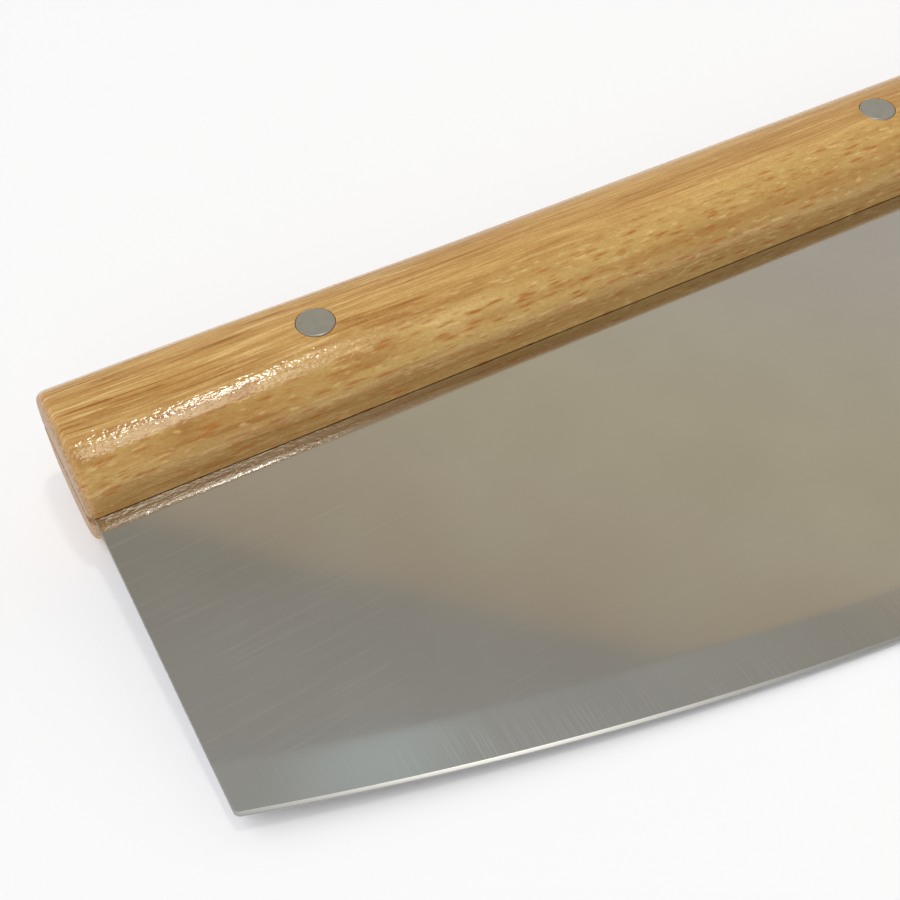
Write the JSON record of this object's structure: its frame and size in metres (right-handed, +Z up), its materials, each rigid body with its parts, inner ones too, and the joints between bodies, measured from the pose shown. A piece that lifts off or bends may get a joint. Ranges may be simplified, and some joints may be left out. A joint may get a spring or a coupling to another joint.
{
  "type": "pizza cutter",
  "caption": "Rocker pizza cutter: a broad stainless blade with an arched cutting edge, riveted along its straight back between oval wooden handle scales, for cutting a pizza by rocking.",
  "frame": {"origin": "on the surface that the cutter lies on, under the middle of its box", "axes": "+X along the handle to the right end, +Y from the cutting edge to the handle, +Z up out of the blade's front side"},
  "size_m": [0.3568, 0.1176, 0.0258],
  "materials": {
    "blade_steel": "polished stainless steel with faint grinding lines",
    "handle_wood": "light honey wood under glossy varnish",
    "rivet_metal": "flat satin rivet heads"
  },
  "bodies": {
    "root": {"blade": "blade_steel", "front_scale": "handle_wood", "rear_scale": "handle_wood", "rivet_pin_left": "rivet_metal", "rivet_pin_middle": "rivet_metal", "rivet_pin_right": "rivet_metal", "rivet_socket_left": "rivet_metal", "rivet_socket_middle": "rivet_metal", "rivet_socket_right": "rivet_metal"}
  },
  "joints": []
}
